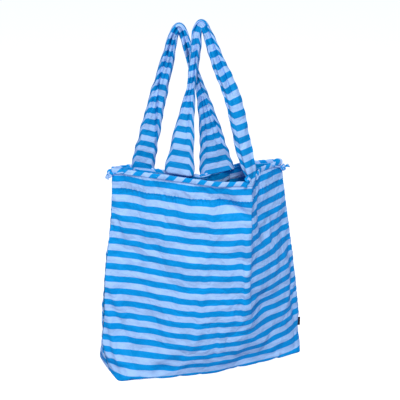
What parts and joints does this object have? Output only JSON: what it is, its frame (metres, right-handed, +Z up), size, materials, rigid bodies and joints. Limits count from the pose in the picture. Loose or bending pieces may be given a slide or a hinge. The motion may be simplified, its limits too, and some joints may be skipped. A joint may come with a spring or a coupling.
{
  "type": "foldable drawstring tote bag",
  "caption": "Thin striped fabric tote with a boxed base, a bias-bound drawstring rim tied in knots, and long carrying handles that fold down over the front and back.",
  "frame": {"origin": "centre of the boxed base's underside", "axes": "+Z up to the handles; +X along the bag towards the side seam with the black label tab; the front, which the picture shows, faces -Y"},
  "size_m": [0.3682, 0.2154, 0.6359],
  "materials": {
    "striped_fabric": "thin ripstop-weight nylon in even azure and periwinkle stripes, soft satin",
    "bias_fabric": "the same striped nylon cut on the bias, so its stripes run diagonally",
    "drawstring": "narrow folded strip of the striped nylon, knotted",
    "seam_binding": "folded periwinkle tape, matt",
    "label": "plain black woven tape with no print"
  },
  "bodies": {
    "bag": {"front_panel": "striped_fabric", "back_panel": "striped_fabric", "base_panel": "striped_fabric", "front_facing": "striped_fabric", "back_facing": "striped_fabric", "front_handle_left_end": "striped_fabric", "front_handle_right_end": "striped_fabric", "back_handle_left_end": "striped_fabric", "back_handle_right_end": "striped_fabric", "front_casing": "bias_fabric", "back_casing": "bias_fabric", "front_drawstring": "drawstring", "back_drawstring": "drawstring", "front_knot": "drawstring", "left_seam_binding": "seam_binding", "right_seam_binding": "seam_binding", "left_corner_binding": "seam_binding", "right_corner_binding": "seam_binding", "label_tab": "label"},
    "front_handle": {"front_handle": "striped_fabric"},
    "back_handle": {"back_handle": "striped_fabric"},
    "left_knot": {"left_knot": "drawstring"},
    "right_knot": {"right_knot": "drawstring"}
  },
  "joints": [
    {"name": "front_handle_fold", "type": "hinge", "parent": "bag", "child": "front_handle", "pos_m": [-0.0133, -0.0992, 0.39], "axis": [0.8799, -0.4752, 0], "range_deg": [0, 120]},
    {"name": "back_handle_fold", "type": "hinge", "parent": "bag", "child": "back_handle", "pos_m": [-0.0462, -0.0224, 0.386], "axis": [-0.943, 0.3327, 0], "range_deg": [0, 125]},
    {"name": "left_knot_pull", "type": "slide", "parent": "bag", "child": "left_knot", "axis": [-0.8091, 0.5876, 0], "range_m": [0, 0.02]},
    {"name": "right_knot_pull", "type": "slide", "parent": "bag", "child": "right_knot", "axis": [0.89, 0.456, 0], "range_m": [0, 0.02]}
  ]
}
